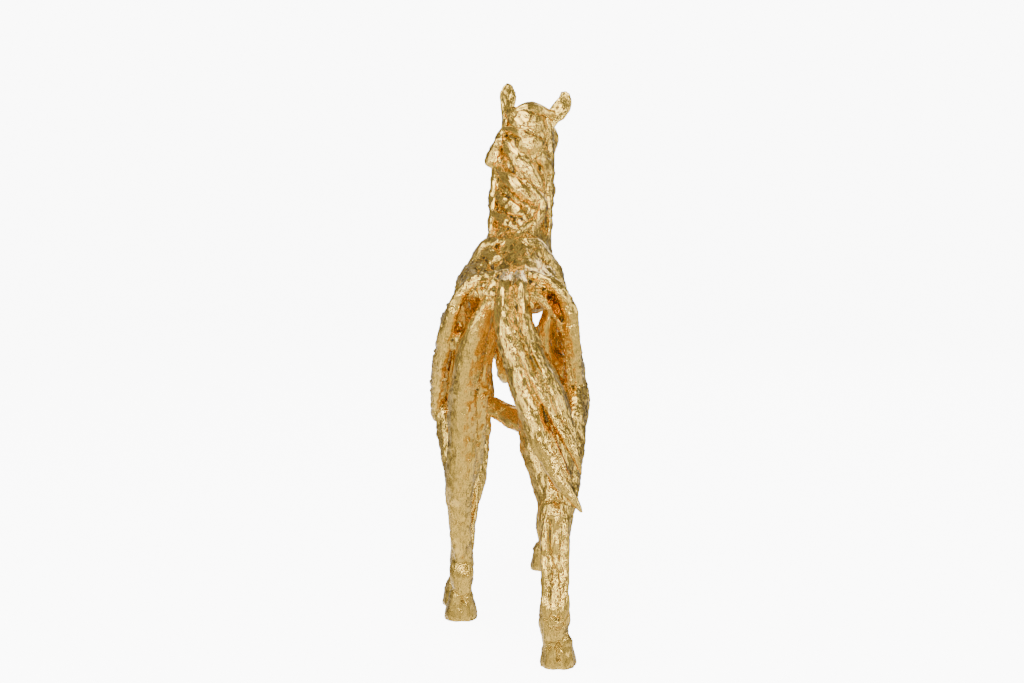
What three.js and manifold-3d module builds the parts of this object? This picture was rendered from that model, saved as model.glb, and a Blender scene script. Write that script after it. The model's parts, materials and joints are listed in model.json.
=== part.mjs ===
// An openwork horse figurine, cast in one piece of resin and finished in gold leaf.
// It walks forward (+Y) with its head up and turned a little to its right (+X).
// The body is a cage of bark-like bands; the legs, neck and tail are bundles of driftwood strands.
// Millimetres, +Z up. The origin is on the ground, under the middle of the figure.
import * as THREE from "three";
import { mergeVertices } from "three/addons/utils/BufferGeometryUtils.js";
import Module from "manifold-3d";

// Driving sizes.
const HEIGHT = 338; // ground to the tip of the left ear
const BARK = 5.4; // thickness of the bands that make the body's cage
const HOOF_WIDTH = 20; // across the sole
const HOOF_LENGTH = 25; // heel to toe along the sole
const HOOF_RISE = 15; // ground to the hairline
const CANNON = 14; // width of the shank above each fetlock
const EAR_WIDTH = 12;
const HEAD_LENGTH = 88; // poll to lips

// The pose is drawn on a figure this tall and takes the height that is asked for.
const DRAWN_HEIGHT = 338;
const share = HEIGHT / DRAWN_HEIGHT;
const SIDE = { left: -1, right: 1 };
const UP = new THREE.Vector3(0, 0, 1);
const FORWARD = new THREE.Vector3(0, 1, 0);
const SIDEWAYS = new THREE.Vector3(1, 0, 0);

// A point of the pose: x to the figure's right, y forward from its rear heel, z up.
function at(x, y, z) {
  return new THREE.Vector3(x, y, z).multiplyScalar(share);
}

// Reads a list of numbers along a curve, with straight lines between them.
function along(values, t) {
  const place = t * (values.length - 1);
  const from = Math.min(Math.floor(place), values.length - 2);
  return THREE.MathUtils.lerp(values[from], values[from + 1], place - from);
}

// Reads every column of a table after its first at a place, with straight lines between the rows.
function station(table, place) {
  let from = 0;
  while (from < table.length - 2 && place > table[from + 1][0]) from++;
  const [a, b] = [table[from], table[from + 1]];
  const t = THREE.MathUtils.clamp((place - a[0]) / (b[0] - a[0]), 0, 1);
  return a.slice(1).map((value, column) => THREE.MathUtils.lerp(value, b[column + 1], t));
}

// A closed loft. rows holds { p, a, b }: the middle, half the width and half the thickness.
// face gives the direction that the flat of the strand looks in. cup bends its width to a trough.
function strand(rows, options = {}) {
  const { face = FORWARD, sides = 6, steps = 1, cup = 0 } = options;
  const spine = new THREE.CatmullRomCurve3(rows.map((row) => row.p), false, "centripetal");
  const widths = rows.map((row) => row.a);
  const depths = rows.map((row) => row.b);
  const rings = (rows.length - 1) * steps + 1;
  const positions = [];
  for (let ring = 0; ring < rings; ring++) {
    const t = ring / (rings - 1);
    const centre = spine.getPoint(t);
    const tangent = spine.getTangent(t);
    const look = typeof face === "function" ? face(centre) : face;
    const normal = look.clone().addScaledVector(tangent, -look.dot(tangent)).normalize();
    const across = new THREE.Vector3().crossVectors(normal, tangent);
    for (let side = 0; side < sides; side++) {
      const angle = (side / sides) * 2 * Math.PI;
      const u = Math.cos(angle) * along(widths, t);
      const v = Math.sin(angle) * along(depths, t) - cup * Math.cos(angle) ** 2;
      positions.push(...centre.clone().addScaledVector(across, u).addScaledVector(normal, v));
    }
  }
  return closedGeometry(positions, loftIndex(rings, sides));
}

// Short rows for a strand of the pose: x, y, z, half width, half thickness.
function rows(list) {
  return list.map(([x, y, z, a, b]) => ({ p: at(x, y, z), a: a * share, b: b * share }));
}

// Joins two shared rings of points into a band of triangles, ring after ring.
function loftIndex(rings, sides) {
  const index = [];
  for (let ring = 0; ring < rings - 1; ring++) {
    for (let side = 0; side < sides; side++) {
      const a = ring * sides + side;
      const b = ring * sides + ((side + 1) % sides);
      index.push(a, b, a + sides, b, b + sides, a + sides);
    }
  }
  for (let side = 1; side < sides - 1; side++) {
    const last = (rings - 1) * sides;
    index.push(0, side + 1, side);
    index.push(last, last + side, last + side + 1);
  }
  return index;
}

function closedGeometry(positions, index) {
  const geometry = new THREE.BufferGeometry();
  geometry.setAttribute("position", new THREE.Float32BufferAttribute(positions, 3));
  geometry.setIndex(index);
  return geometry;
}

// The skin of the trunk, from the rump forward: [y, top, bottom, half width].
const TRUNK = [
  [40, 204, 150, 24],
  [62, 215, 136, 35],
  [90, 214, 122, 43],
  [120, 211, 114, 45],
  [155, 209, 111, 45.5],
  [190, 220, 112, 43],
  [222, 228, 118, 37],
  [258, 210, 135, 28],
];
const LEAN = -2.5; // the trunk's middle stands this far left of the line of the walk

// A point of the trunk's skin: y along it, and degrees round it from the top, positive to the right.
function skin(y, degrees, inset = 0) {
  const [top, bottom, half] = station(TRUNK, y).map((value) => value * share);
  const angle = THREE.MathUtils.degToRad(degrees);
  const rise = Math.sign(Math.cos(angle)) * Math.abs(Math.cos(angle)) ** 0.85;
  const wide = Math.sign(Math.sin(angle)) * Math.sqrt(Math.abs(Math.sin(angle))) * (1 - 0.14 * rise);
  const x = LEAN * share + (half - inset) * wide;
  const z = (top + bottom) / 2 + ((top - bottom) / 2 - inset) * rise;
  return new THREE.Vector3(x, y * share, z);
}

// The direction straight out of the trunk at a point.
function outward(point) {
  return new THREE.Vector3(point.x, 0, point.z - 165 * share).normalize();
}

// The rims of the trunk's shell. The rear one slants from the rump down to each stifle.
const LOWEST = 128;
const STIFLE = { left: 112, right: 72 };
function rearRim(degrees) {
  const stifle = degrees < 0 ? STIFLE.left : STIFLE.right;
  return THREE.MathUtils.lerp(46, stifle, (Math.abs(degrees) / LOWEST) ** 1.4);
}
function frontRim(degrees) {
  const turn = Math.abs(degrees) / LOWEST;
  return 228 + 90 * turn * (1 - turn);
}

// The shell of the trunk: a slab of bark bent over the back and down both flanks.
function shell() {
  const RINGS = 8;
  const ARC = 14;
  const positions = [];
  for (const inset of [0, BARK]) {
    for (let ring = 0; ring <= RINGS; ring++) {
      for (let arc = 0; arc <= ARC; arc++) {
        const degrees = ((2 * arc) / ARC - 1) * LOWEST;
        const y = THREE.MathUtils.lerp(rearRim(degrees), frontRim(degrees), ring / RINGS);
        positions.push(...skin(y, degrees, inset));
      }
    }
  }
  const row = ARC + 1;
  const inner = (RINGS + 1) * row;
  const index = [];
  const quad = (a, b, c, d) => index.push(a, b, c, a, c, d);
  for (let ring = 0; ring < RINGS; ring++) {
    for (let arc = 0; arc < ARC; arc++) {
      const a = ring * row + arc;
      quad(a, a + 1, a + 1 + row, a + row);
      quad(inner + a, inner + a + row, inner + a + row + 1, inner + a + 1);
    }
    const start = ring * row;
    quad(start, start + row, inner + start + row, inner + start);
    quad(start + ARC, inner + start + ARC, inner + start + row + ARC, start + row + ARC);
  }
  for (let arc = 0; arc < ARC; arc++) {
    const last = RINGS * row + arc;
    quad(arc, inner + arc, inner + arc + 1, arc + 1);
    quad(last, last + 1, inner + last + 1, inner + last);
  }
  return closedGeometry(positions, index);
}

// A leaf-shaped cutter, laid along +Y and pointing out along +Z.
function leaf(length, width, depth) {
  const outline = new THREE.Shape();
  outline.moveTo(0, -length / 2);
  outline.bezierCurveTo(width * 0.75, -length / 5, width * 0.6, length / 4, 0, length / 2);
  outline.bezierCurveTo(-width * 0.75, length / 5, -width * 0.6, -length / 4, 0, -length / 2);
  const cutter = new THREE.ExtrudeGeometry(outline, { depth, bevelEnabled: false, curveSegments: 3 });
  return cutter.translate(0, 0, -depth / 2);
}

// Places a leaf where it pierces the form at a point, looking along out, its length turned by slant.
function pierce(point, out, length, width, depth, slant) {
  const lengthwise = FORWARD.clone().addScaledVector(out, -out.dot(FORWARD)).normalize();
  const turned = lengthwise.applyAxisAngle(out, slant);
  const across = new THREE.Vector3().crossVectors(turned, out);
  const frame = new THREE.Matrix4().makeBasis(across, turned, out).setPosition(point);
  return leaf(length * share, width * share, depth).applyMatrix4(frame);
}

// The openings of the trunk on one side: [y, degrees, length, width, slant in degrees].
const OPENINGS = [
  [100, 46, 50, 15, -14],
  [146, 38, 46, 12, 6],
  [188, 54, 42, 14, -24],
  [120, 82, 46, 17, -16],
  [160, 72, 48, 16, 8],
  [206, 78, 42, 16, -34],
  [148, 108, 50, 14, 10],
  [194, 106, 44, 14, -12],
  [236, 60, 30, 12, -46],
];

function trunkOpenings() {
  const cutters = [];
  for (const side of [SIDE.left, SIDE.right]) {
    for (const [y, degrees, length, width, slant] of OPENINGS) {
      const point = skin(y + 3 * side, degrees * side);
      const out = outward(point);
      const turn = THREE.MathUtils.degToRad(slant) * side;
      cutters.push(pierce(point, out, length, width, 8 * BARK, turn));
    }
  }
  return cutters;
}

// The croup and back: one wide smooth plate from the tail's root to the withers.
function back() {
  return strand(
    rows([
      [0, 48, 203, 13, 5],
      [0, 75, 213, 20, 4.5],
      [1, 110, 208, 17, 4],
      [1, 145, 205, 16, 4],
      [2, 180, 217, 17, 5],
      [3, 208, 231, 15, 8],
      [4, 228, 236, 12, 9],
    ]),
    { face: UP, cup: 3 * share, sides: 8, steps: 2 },
  );
}

// Shoulder blades, upper arms and the breast.
function shoulders() {
  const made = [
    strand(rows([
      [4, 256, 226, 12, 9],
      [2, 266, 202, 11, 9],
      [1, 270, 180, 10.5, 9],
      [1, 266, 160, 12, 8],
      [-1, 250, 148, 12, 6],
      [-5, 228, 147, 11, 5],
    ]), { face: FORWARD }),
  ];
  for (const side of [SIDE.left, SIDE.right]) {
    made.push(
      strand(rows([
        [8 * side, 198, 233, 5, 2],
        [14 * side, 206, 230, 11, 5],
        [23 * side + 1, 212, 218, 13, 5],
        [31.5 * side, 222, 198, 11.2 - 0.7 * side, 5.5],
        [34.5 * side, 236, 174, 11.5 - 0.5 * side, 7],
        [31 * side, 242, 158, 10, 9],
      ]), { face: outward, cup: 2 * share }),
      strand(rows([
        [30 * side, 248, 172, 10, 10],
        [32 * side, 234, 156, 11, 10],
        [29 * side, 212, 140, 11, 12],
      ]), { face: SIDEWAYS }),
      strand(rows([
        [31 * side, 240, 178, 8, 6],
        [22 * side, 258, 164, 9, 6],
        [6 * side, 266, 154, 8, 6],
      ]), { face: FORWARD }),
    );
  }
  return made;
}

// The strap under the belly runs askew, from the left elbow to the right flank.
function bellyStrap() {
  return strand(
    rows([
      [-43, 196, 146, 5, 2],
      [-32, 188, 134, 8, 4],
      [-10, 172, 126, 9, 5.5],
      [10, 148, 119, 9, 6],
      [28, 124, 121, 9, 5],
      [38, 102, 134, 9, 5],
      [42, 92, 142, 5, 4],
    ]),
    { face: UP },
  );
}

// A hoof: level rings from the hairline down to a flat sole. heading turns its toe out.
function hoof(x, y, heading) {
  const levels = [
    { z: 0, width: 1, length: 1, back: 0 },
    { z: 0.25, width: 0.98, length: 0.95, back: 0.03 },
    { z: 0.95, width: 0.76, length: 0.72, back: 0.13 },
    { z: 1.25, width: 0.6, length: 0.55, back: 0.18 },
  ];
  const sides = 8;
  const positions = [];
  for (const level of levels) {
    for (let side = 0; side < sides; side++) {
      const angle = (side / sides) * 2 * Math.PI;
      const local = new THREE.Vector3(
        (Math.cos(angle) * HOOF_WIDTH * level.width) / 2,
        (Math.sin(angle) * level.length * HOOF_LENGTH) / 2 - level.back * HOOF_LENGTH,
        level.z * HOOF_RISE,
      );
      local.applyAxisAngle(UP, heading);
      positions.push(x * share + local.x, y * share + local.y, local.z);
    }
  }
  return closedGeometry(positions, loftIndex(levels.length, sides));
}

// The leg below the hock or knee: shank, fetlock, pastern and hoof. tendon is how far two sinews
// stand out behind the shank, where it is more than zero, and size is the shank's relative width.
function shank(top, fetlock, foot, heading, tendon, size = 0.95) {
  const half = (CANNON / 2 / share) * size;
  const between = (t) => top.map((value, i) => THREE.MathUtils.lerp(value, fetlock[i], t));
  const sinew = (side) =>
    strand(rows([[0, 0.5, 0.8], [0.3, 0.6, 1], [0.9, 0.5, 1.1], [1.1, 0.3, 0.5]].map(([t, spread, wide]) => {
      const [x, y, z] = between(t);
      const back = y - half * 0.55 - tendon;
      return [x + side * spread * half, back, z, 0.4 * half * wide, 0.45 * half * wide];
    })), { sides: 5 });
  return [
    ...(tendon > 0 ? [sinew(SIDE.left), sinew(SIDE.right)] : []),
    strand(rows([
      [...top, half + 1, half + 2.5],
      [...between(0.5), half - 0.5, half - 0.3],
      [fetlock[0], fetlock[1], fetlock[2] + 10, half - 0.5, half + 0.2],
      [...fetlock, half + 0.6, half + 1.2],
      [fetlock[0], (fetlock[1] + foot[1]) / 2, fetlock[2] * 0.6, half - 0.8, half - 0.4],
      [foot[0], foot[1] - 3, 9, half + 0.5, half + 0.5],
    ])),
    hoof(foot[0], foot[1], heading),
  ];
}

// Left hind leg: the rear strand from the tail's root to the hock, an inner and an outer strand
// beside it, and a crosspiece of bark.
function leftHindLeg() {
  return [
    strand(rows([
      [-11, 60, 210, 4, 6],
      [-15.5, 54, 199, 5, 8],
      [-20, 55, 187, 6.5, 9],
      [-24, 62, 173, 8, 10],
      [-27, 70, 158, 7.6, 12],
      [-29, 79, 136, 8.8, 13.5],
      [-29.5, 84, 110, 9, 12.5],
      [-31.5, 88, 92, 9, 11],
      [-32, 95, 72, 6.5, 8],
      [-32, 99, 56, 4.5, 5],
    ]), { sides: 8 }),
    strand(rows([
      [-42, 130, 162, 4, 5],
      [-41, 119, 146, 7, 11],
      [-37.5, 105, 115, 7, 10.5],
      [-33, 94, 86, 6, 8],
      [-32, 98, 68, 4, 5],
    ])),
    strand(rows([
      [-25, 78, 209, 4, 5],
      [-19, 73, 197, 5, 6],
      [-14, 70, 182, 5, 8],
      [-18.5, 76, 156, 5, 9],
      [-21, 86, 124, 5, 9.5],
      [-25, 91, 98, 4.5, 8],
    ])),
    strand(rows([
      [-22, 62, 182, 6, 5],
      [-32, 69, 179, 5, 4.5],
      [-41, 78, 177, 4, 4],
    ]), { face: outward }),
    ...shank([-32, 92, 84], [-31, 115, 30], [-32, 125], 0.06, 0),
  ];
}

// Right hind leg: the thigh stands wide of the tail and carries its weight at the rear.
function rightHindLeg() {
  return [
    strand(rows([
      [5, 62, 208, 4, 6],
      [6, 54, 196, 4.5, 7],
      [9, 50, 183, 6, 9],
      [14.5, 46, 166, 8.5, 12],
      [18, 43, 150, 12.5, 14],
      [19.5, 40, 134, 15.5, 15],
      [20.5, 35, 120, 14.8, 14.5],
      [22, 28, 108, 12.8, 13],
      [24, 19, 94, 9.5, 11.5],
      [24, 12, 76, 7.5, 9],
      [24, 8, 60, 5, 5.5],
    ]), { sides: 8 }),
    strand(rows([
      [37, 98, 166, 4, 5],
      [37, 86, 150, 7, 11],
      [35, 60, 125, 7.5, 11.5],
      [31, 32, 98, 7, 10],
      [26, 12, 66, 4, 5],
    ])),
    ...shank([24, 13, 86], [24, 4, 30], [26, 13], -0.05, 1.8, 1.14),
  ];
}

// The broad rims of the haunches face backwards, and a thinner slip of bark hangs inside each.
function haunches() {
  const flat = { face: FORWARD, cup: share };
  return [
    strand(rows([
      [-4, 70, 216, 4.5, 3],
      [-15, 63, 215, 3.8, 4],
      [-24, 60, 212, 3.5, 5],
      [-30, 60, 206, 3.5, 5],
      [-34, 61, 198, 3.8, 5],
      [-37.5, 66, 187, 4.1, 5],
      [-40, 74, 175, 4.4, 5],
      [-42.5, 85, 162, 4.4, 5.5],
      [-44, 97, 149, 4.4, 6],
      [-46, 112, 131, 3.2, 5],
      [-46, 115, 127, 2, 3],
    ]), flat),
    strand(rows([
      [7, 68, 216, 4.5, 3],
      [17, 61, 214.5, 3.8, 4],
      [25, 58, 211, 3.6, 5],
      [30, 57, 205, 3.7, 5],
      [33.5, 59, 196, 4.2, 5],
      [35, 64, 180, 4.6, 5],
      [36.5, 73, 160, 4.7, 6],
      [38.5, 83, 138, 5.5, 7],
      [37.5, 84, 122, 4, 5],
    ]), flat),
    strand(rows([
      [-31, 84, 188, 2.2, 2.6],
      [-35, 91, 170, 3.2, 3],
      [-37, 98, 153, 3.2, 3],
      [-37, 105, 138, 2.2, 2.6],
    ]), { sides: 5 }),
    strand(rows([
      [30, 64, 210, 2.6, 4],
      [22.5, 68, 197, 3.6, 4],
      [19.5, 71, 180, 3.8, 4],
      [24, 79, 157, 3.8, 4],
      [32, 85, 144, 3, 4],
    ]), { sides: 5 }),
    strand(rows([
      [44, 101, 148, 2, 3],
      [43.5, 97, 137, 3.6, 5],
      [42, 91, 125, 2.4, 3],
    ]), { sides: 5 }),
  ];
}

// Fore legs: forearm from the elbow to the knee, then the shank.
function foreLegs() {
  return [
    strand(rows([
      [-24, 208, 150, 11, 14],
      [-24, 201, 132, 11.5, 13.5],
      [-25, 190, 108, 10, 10.5],
      [-26, 181, 88, 9.8, 10.5],
      [-27, 174, 70, 7, 7.5],
      [-28, 170, 56, 4.5, 5],
    ]), { sides: 8 }),
    ...shank([-27, 176, 80], [-32, 155, 31], [-35, 163], 0.1, 0),
    strand(rows([
      [29, 210, 150, 11, 14],
      [29, 220, 130, 10.5, 13],
      [28, 234, 108, 9.5, 10],
      [26, 246, 90, 9.8, 10.5],
      [26, 251, 72, 7, 7.5],
      [25.5, 253, 58, 4.5, 5],
    ]), { sides: 8 }),
    ...shank([26, 249, 82], [24, 262, 34], [23, 271], -0.08, 0),
  ];
}

// The neck: a loft from the shoulders to the poll, pierced from side to side by leaves. One more
// leaf runs forward beside the breast.
function neck() {
  return strand(
    rows([
      [3, 226, 196, 27, 40],
      [4, 238, 222, 23, 33],
      [6.5, 250, 250, 20, 25],
      [8, 258, 278, 18, 20],
      [10, 264, 304, 16, 16],
    ]),
    { sides: 8 },
  );
}

function neckOpenings() {
  const lean = THREE.MathUtils.degToRad(66);
  const breast = leaf(24 * share, 10 * share, 90).rotateX(Math.PI / 2).rotateY(Math.PI / 2);
  return [
    pierce(at(5, 252, 228), SIDEWAYS, 46, 13, 90, lean),
    pierce(at(5, 233, 250), SIDEWAYS, 36, 10, 90, lean),
    pierce(at(8, 258, 266), SIDEWAYS, 34, 9, 90, lean),
    breast.translate(...at(17, 236, 184)),
  ];
}

// The head: a skull loft and a jaw, drawn along a line from the poll to the lips.
const POLL = [14, 260, 322];
const HEAD_TURN = THREE.MathUtils.degToRad(8);
const HEAD_DROP = THREE.MathUtils.degToRad(43);
const faceAxis = new THREE.Vector3(
  Math.sin(HEAD_TURN) * Math.cos(HEAD_DROP),
  Math.cos(HEAD_TURN) * Math.cos(HEAD_DROP),
  -Math.sin(HEAD_DROP),
);
const headRight = new THREE.Vector3(Math.cos(HEAD_TURN), -Math.sin(HEAD_TURN), 0);
const headDown = new THREE.Vector3().crossVectors(faceAxis, headRight).normalize();

// A point of the head: share of its length from the poll, sideways, and down from the nose line.
function onHead(lengthShare, sideways, down) {
  return at(...POLL)
    .addScaledVector(faceAxis, lengthShare * HEAD_LENGTH)
    .addScaledVector(headRight, (sideways * HEAD_LENGTH) / 100)
    .addScaledVector(headDown, (down * HEAD_LENGTH) / 100);
}

// Rows along the head: share of length, half width, middle below the nose line, half depth.
function headRows(list) {
  return list.map(([s, wide, middle, deep]) => ({
    p: onHead(s, 0, middle),
    a: (wide * HEAD_LENGTH) / 100,
    b: (deep * HEAD_LENGTH) / 100,
  }));
}

function head() {
  const made = [
    strand(headRows([
      [-0.07, 6, 19, 6],
      [-0.03, 11.5, 18.5, 12],
      [0.1, 15.5, 18, 16],
      [0.26, 16.5, 18, 18],
      [0.42, 14, 16, 16],
      [0.6, 11, 13.5, 13],
      [0.76, 9.6, 12.5, 11.5],
      [0.88, 10.2, 13, 12],
      [0.97, 8.4, 13.5, 9.5],
      [1.04, 4.5, 14, 5],
    ]), { face: headDown, sides: 8 }),
    strand(headRows([
      [0, 6, 33, 5],
      [0.08, 12, 34, 10],
      [0.2, 13.5, 36, 15],
      [0.36, 12, 33, 12.5],
      [0.54, 7.5, 25.5, 7.5],
      [0.72, 6.5, 23, 5.5],
      [0.86, 6.6, 23.5, 4.6],
      [0.95, 3, 22.5, 2.6],
    ]), { face: headDown }),
  ];
  for (const side of [SIDE.left, SIDE.right]) {
    made.push(
      onHeadStrand([[0.12, 9 * side, 6, 3, 3.5], [0.24, 14.5 * side, 7, 4.2, 4], [0.36, 13 * side, 9, 2.5, 2.5]]),
      onHeadStrand([[0.1, 9 * side, 40, 3.5, 6], [0.24, 12 * side, 40, 4.5, 9], [0.38, 9 * side, 36, 3, 6]]),
    );
  }
  return made;
}

// A strand of the head. Each row is share of the length, sideways, down, half width and half
// thickness, all but the first in hundredths of the head's length.
function onHeadStrand(list, options = { face: headDown }) {
  return strand(
    list.map(([s, x, down, wide, deep]) => ({
      p: onHead(s, x, down),
      a: (wide * HEAD_LENGTH) / 100,
      b: (deep * HEAD_LENGTH) / 100,
    })),
    options,
  );
}

// An ear is a leaf that is cupped towards face. Each row is share of the head's length, sideways
// and down, then the width as a share of the ear's.
function ear(list, face) {
  return strand(
    list.map(([s, x, down, wide], row) => ({
      p: onHead(s, x, down),
      a: (wide * EAR_WIDTH) / 2,
      b: EAR_WIDTH * (0.1 + 0.16 * (1 - row / (list.length - 1))),
    })),
    { face, cup: EAR_WIDTH * 0.16 },
  );
}

function ears() {
  return [
    ear([
      [0.13, -20.6, 16, 0.6],
      [0.07, -20.6, 8, 0.56],
      [0.03, -20.5, 1, 0.74],
      [-0.01, -20.4, -6, 1],
      [-0.04, -20.3, -13, 0.86],
      [-0.065, -20.2, -18.5, 0.3],
    ], new THREE.Vector3(-0.3, 1, 0)),
    ear([
      [0.12, 10, 12, 0.7],
      [0.08, 15.5, 5, 0.95],
      [0.05, 20.5, 0, 1.12],
      [0.02, 24, -5.5, 1],
      [-0.02, 23.5, -13, 0.35],
    ], new THREE.Vector3(0.3, 0.9, -0.3)),
  ];
}

// Loose locks: one hangs left of the poll, one lies over the crown and one falls on the forehead.
function forelocks() {
  const up = { face: headDown.clone().negate() };
  return [
    onHeadStrand([
      [0.054, -20.9, 15.2, 2, 3.4],
      [0.09, -23.4, 22.8, 3.4, 4.5],
      [0.146, -27, 33, 6, 6.3],
      [0.21, -29, 43, 6.6, 4.5],
    ], { face: FORWARD }),
    onHeadStrand([[-0.044, -14.2, 15, 3, 3], [-0.052, -1.1, 6.4, 5.7, 5.1], [0.037, 14.9, 4.3, 3, 3]], up),
    onHeadStrand([[-0.02, 3, 3, 2.5, 2], [0.14, 5, 1, 5, 3.4], [0.3, -2, 1.5, 1.5, 1.2]], up),
  ];
}

// The back of the neck: [z, x of its middle, y, half width, depth from there to its widest].
const NAPE = [
  [212, 3, 190, 27, 40],
  [235, 4, 208, 23, 33],
  [260, 7, 227, 19.5, 25],
  [286, 8.5, 240, 17.5, 20],
  [311, 11, 246, 16, 16],
  [330, 13, 250, 15, 14],
];
function behindNeck([x, z]) {
  const [middle, y, half, deep] = station(NAPE, z);
  const across = THREE.MathUtils.clamp((x - middle) / half, -0.97, 0.97);
  return [x, y + deep * (1 - Math.sqrt(1 - across ** 2)), z];
}

// The mane's locks lie against the back of the neck. Each is x and z at its root, middle and tip,
// then its half width and half thickness.
const LOCKS = [
  [[0, 319], [10, 311], [21, 299], 8.6, 4],
  [[-4, 306], [8, 302], [21, 291], 3.4, 6],
  [[-3, 299], [6, 287], [19, 268], 7.6, 4.2],
  [[-10, 282], [4, 267], [22, 251], 5.2, 6],
  [[9, 270], [20, 256], [14, 241], 4.2, 6.5],
  [[-10, 263], [0, 254], [11, 245], 4, 4.5],
  [[-12, 250], [-2, 243], [8, 235], 4, 4.5],
  [[-3, 229], [6, 238], [14, 246], 2.8, 4.5],
  [[24, 312], [25, 285], [25, 238], 3.4, 5],
  [[-4, 312], [-10, 282], [-15, 232], 3.4, 4],
];
function mane() {
  return LOCKS.map(([root, middle, tip, half, deep]) =>
    lock([root, middle, tip].map(behindNeck), half, deep, new THREE.Vector3(0.1, -1, 0.35)),
  );
}

// A lock of hair through three points, widest at the middle one.
function lock([root, middle, tip], half, deep, face) {
  return strand(rows([
    [...root, half * 0.6, deep * 0.7],
    [...middle, half, deep],
    [...tip, half * 0.35, deep * 0.5],
  ]), { face, sides: 4, steps: 2 });
}

// The tail: two strands leave the croup side by side and fall against the right hock.
function tail() {
  const out = new THREE.Vector3(0, -1, 0.25);
  return [
    strand(rows([
      [-3, 64, 216, 4, 4],
      [-4, 43, 210, 5, 7],
      [-5, 35, 200, 5.2, 8],
      [0, 24, 178, 6.6, 8],
      [8, 15, 153, 7.6, 9],
      [18, 4, 126, 6.6, 8],
      [26, -1, 109, 4.6, 6],
      [38, -8, 91.5, 1, 1.4],
    ]), { face: out }),
    strand(rows([
      [4, 64, 216, 4, 4],
      [5, 43, 210, 4.4, 7],
      [6, 36, 200, 4.4, 8],
      [12, 25, 177, 5.4, 8],
      [22, 15, 154, 5.8, 8],
      [28, 10, 141, 4.4, 6.5],
      [36, 5, 125, 1, 1.6],
    ]), { face: out }),
    lock([[0, 25, 190], [9, 14, 168], [20, 4, 146]], 3, 5, out),
    lock([[14, 15, 165], [22, 5, 144], [33, 0, 122]], 2.8, 4.5, out),
    lock([[16, 9, 140], [23, 1, 124], [31, -1, 109]], 3.4, 5, out),
    lock([[26, 6, 140], [33, 2, 126], [38, 2, 112]], 2.4, 4, out),
  ];
}

// Joins every strand into the one casting.
const wasm = await Module();
wasm.setup();

function solid(geometry) {
  const bare = geometry.clone();
  bare.deleteAttribute("normal");
  bare.deleteAttribute("uv");
  const merged = mergeVertices(bare, 1e-4);
  return new wasm.Manifold(
    new wasm.Mesh({
      numProp: 3,
      vertProperties: merged.attributes.position.array,
      triVerts: new Uint32Array(merged.index.array),
    }),
  );
}

function join(forms) {
  return forms.map(solid).reduce((whole, form) => whole.add(form));
}

const trunk = solid(shell()).subtract(join(trunkOpenings()));
const pierced = solid(neck()).subtract(join(neckOpenings()));
const forms = [
  back(), ...shoulders(), bellyStrap(), ...haunches(), ...leftHindLeg(), ...rightHindLeg(), ...foreLegs(),
  ...head(), ...ears(), ...mane(), ...forelocks(), ...tail(),
];
const casting = trunk.add(pierced).add(join(forms));
const cast = casting.getMesh();
const figure = new THREE.BufferGeometry();
figure.setAttribute("position", new THREE.Float32BufferAttribute(cast.vertProperties, 3));
figure.setIndex(new THREE.Uint32BufferAttribute(cast.triVerts, 1));
figure.computeBoundingBox();
const middle = figure.boundingBox.getCenter(new THREE.Vector3());
figure.translate(-middle.x, -middle.y, -figure.boundingBox.min.z);

const gold = new THREE.MeshStandardMaterial({ color: 0xc9a04e, metalness: 1, roughness: 0.34 });
const horse = new THREE.Mesh(figure, gold);
horse.name = "horse";
const group = new THREE.Group();
group.add(horse);
export default group;
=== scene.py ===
# %% [markdown]
# # A gilt openwork horse
#
# The figure is one casting, modelled like a horse pieced together from driftwood. Each band of wood is a
# closed strand with grooves along its grain. The strands are melted into one skin, the skin gets its
# finer grain, and a gold leaf material with brown painted shade in the grooves goes over it.
#
# A horse like this could be sculpted by hand. Here it is written out, so every band has a place in
# millimetres that can be read and changed, and the same skin comes out on every run.

# %% Start from the imported frame
import itertools
import json
import math

import bpy
import numpy as np
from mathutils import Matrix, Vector
from mathutils.bvhtree import BVHTree
from mathutils.kdtree import KDTree

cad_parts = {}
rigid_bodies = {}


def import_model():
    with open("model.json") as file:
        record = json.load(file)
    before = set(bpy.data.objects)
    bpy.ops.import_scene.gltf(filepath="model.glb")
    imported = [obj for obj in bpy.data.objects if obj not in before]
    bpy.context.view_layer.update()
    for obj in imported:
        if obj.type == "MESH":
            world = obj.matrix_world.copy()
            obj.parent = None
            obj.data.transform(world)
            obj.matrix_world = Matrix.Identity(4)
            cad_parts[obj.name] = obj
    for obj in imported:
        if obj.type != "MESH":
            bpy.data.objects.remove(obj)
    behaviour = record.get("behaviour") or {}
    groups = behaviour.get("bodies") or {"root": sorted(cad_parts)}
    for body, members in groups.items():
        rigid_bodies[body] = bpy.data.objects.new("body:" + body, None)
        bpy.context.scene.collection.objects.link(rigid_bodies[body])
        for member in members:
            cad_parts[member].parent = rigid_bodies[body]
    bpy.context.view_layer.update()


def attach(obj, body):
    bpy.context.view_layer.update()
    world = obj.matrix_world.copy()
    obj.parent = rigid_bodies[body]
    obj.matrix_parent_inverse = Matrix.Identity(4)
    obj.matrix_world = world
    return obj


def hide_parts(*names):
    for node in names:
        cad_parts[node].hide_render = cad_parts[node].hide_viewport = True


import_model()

# %% [markdown]
# The pose is drawn in millimetres: x to the horse's right, y forward from its rear heel, z up. MIDDLE is
# the place in that drawing that the part's frame stands on. The voxel size decides how fine the melted
# skin is: small enough for the grooves, and large enough for the script to stay quick.

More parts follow.
